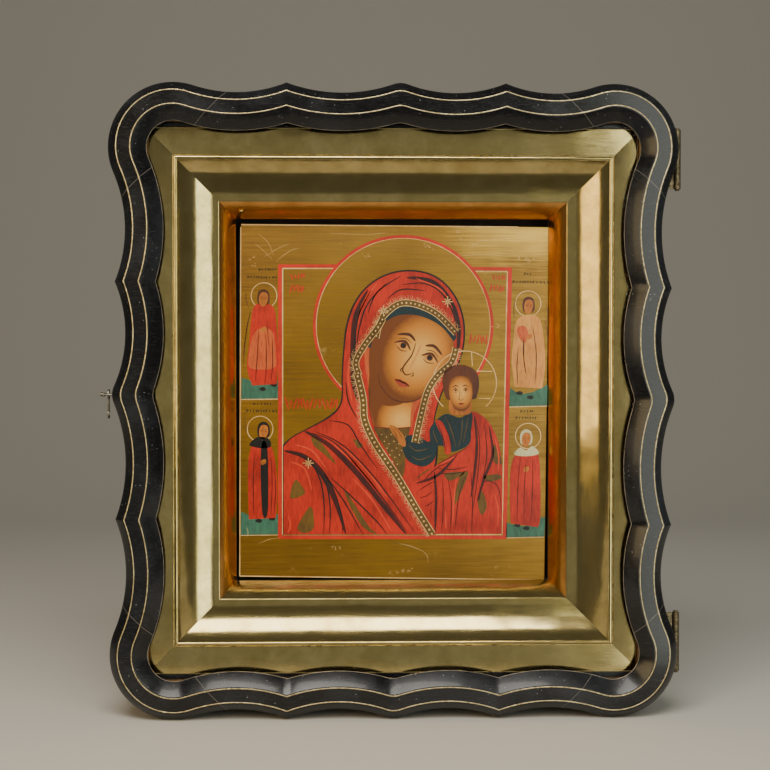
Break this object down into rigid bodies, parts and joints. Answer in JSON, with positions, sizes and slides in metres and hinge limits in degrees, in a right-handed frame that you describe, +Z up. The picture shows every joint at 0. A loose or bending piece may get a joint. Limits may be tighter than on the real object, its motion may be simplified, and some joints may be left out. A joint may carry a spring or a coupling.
{
  "type": "icon panel in glazed case",
  "caption": "Painted icon board behind brass-covered mouldings in a black-lacquered icon case with a wavy outline and a hinged, glazed door.",
  "frame": {"origin": "middle of the foot of the whole object's box, between the front and the back", "axes": "+Z up, the glazed door faces -Y, the hinges are at +X and the latch at -X"},
  "size_m": [0.4947, 0.0954, 0.5378],
  "materials": {
    "black_lacquer": "black shellac polish on carved wood, glossy, scratched and dusty",
    "plain_wood": "bare aged softwood",
    "brass_covering": "thin polished brass sheet over a wooden core, olive and lightly tarnished",
    "brass": "polished brass, worn",
    "steel": "old screws",
    "painted_panel": "egg tempera and gold on a gessoed board, varnished and worn",
    "clear_glass": "thin clear window glass, slightly dusty"
  },
  "bodies": {
    "case": {"case_top": "black_lacquer", "case_bottom": "black_lacquer", "case_left": "black_lacquer", "case_right": "black_lacquer", "back_board": "plain_wood", "moulding_top": "brass_covering", "moulding_bottom": "brass_covering", "moulding_left": "brass_covering", "moulding_right": "brass_covering", "icon_board": "painted_panel", "hook_screw": "brass", "hinge_upper_case_leaf": "brass", "hinge_upper_case_screw_1": "steel", "hinge_upper_case_screw_2": "steel", "hinge_upper_pin": "brass", "hinge_lower_case_leaf": "brass", "hinge_lower_case_screw_1": "steel", "hinge_lower_case_screw_2": "steel", "hinge_lower_pin": "brass"},
    "door": {"door_rail_top": "black_lacquer", "door_rail_bottom": "black_lacquer", "door_rail_left": "black_lacquer", "door_rail_right": "black_lacquer", "door_corner_top_left": "black_lacquer", "door_corner_top_right": "black_lacquer", "door_corner_bottom_left": "black_lacquer", "door_corner_bottom_right": "black_lacquer", "brass_line_outer": "brass", "brass_line_inner": "brass", "glass_pane": "clear_glass", "glazing_bead_top": "plain_wood", "glazing_bead_bottom": "plain_wood", "glazing_bead_left": "plain_wood", "glazing_bead_right": "plain_wood", "catch_pin": "brass", "hinge_upper_door_leaf": "brass", "hinge_upper_door_screw_1": "steel", "hinge_upper_door_screw_2": "steel", "hinge_lower_door_leaf": "brass", "hinge_lower_door_screw_1": "steel", "hinge_lower_door_screw_2": "steel"},
    "latch": {"latch_hook": "brass"}
  },
  "joints": [
    {"name": "door_hinge", "type": "hinge", "parent": "case", "child": "door", "pos_m": [0.24435, -0.02945, 0.2689], "axis": [0, 0, 1], "range_deg": [0, 170]},
    {"name": "hook_swing", "type": "hinge", "parent": "case", "child": "latch", "pos_m": [-0.24045, -0.0192, 0.2749], "axis": [1, 0, 0], "range_deg": [-30, 270]}
  ]
}
